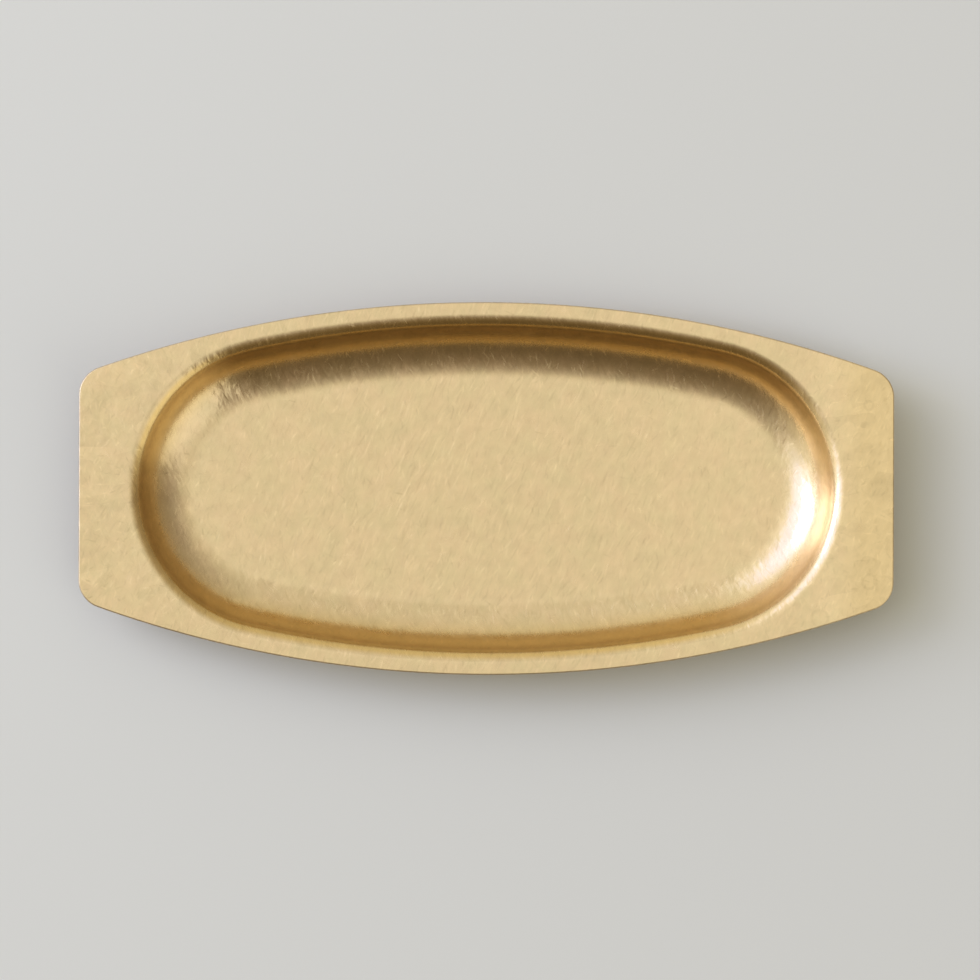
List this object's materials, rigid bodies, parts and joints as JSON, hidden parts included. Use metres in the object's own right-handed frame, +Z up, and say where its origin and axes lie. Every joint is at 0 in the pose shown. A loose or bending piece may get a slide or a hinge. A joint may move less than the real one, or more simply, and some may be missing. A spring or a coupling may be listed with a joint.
{
  "type": "oval tray",
  "caption": "Shallow oval tray pressed from sheet brass, with bowed long sides, a narrow flat rim, squared ears at the ends and a round-cornered basin with a flat floor.",
  "frame": {"origin": "middle of the flat underside, on the plane that the tray rests on", "axes": "+X along the length towards an ear, +Y across the width, +Z up out of the basin"},
  "size_m": [0.22, 0.1006, 0.0135],
  "materials": {
    "tumbled_brass": "raw brass sheet, tumbled to a soft satin with fine crossing scratches and faint tarnish, unlacquered"
  },
  "bodies": {
    "root": {"tray_pressing": "tumbled_brass"}
  },
  "joints": []
}
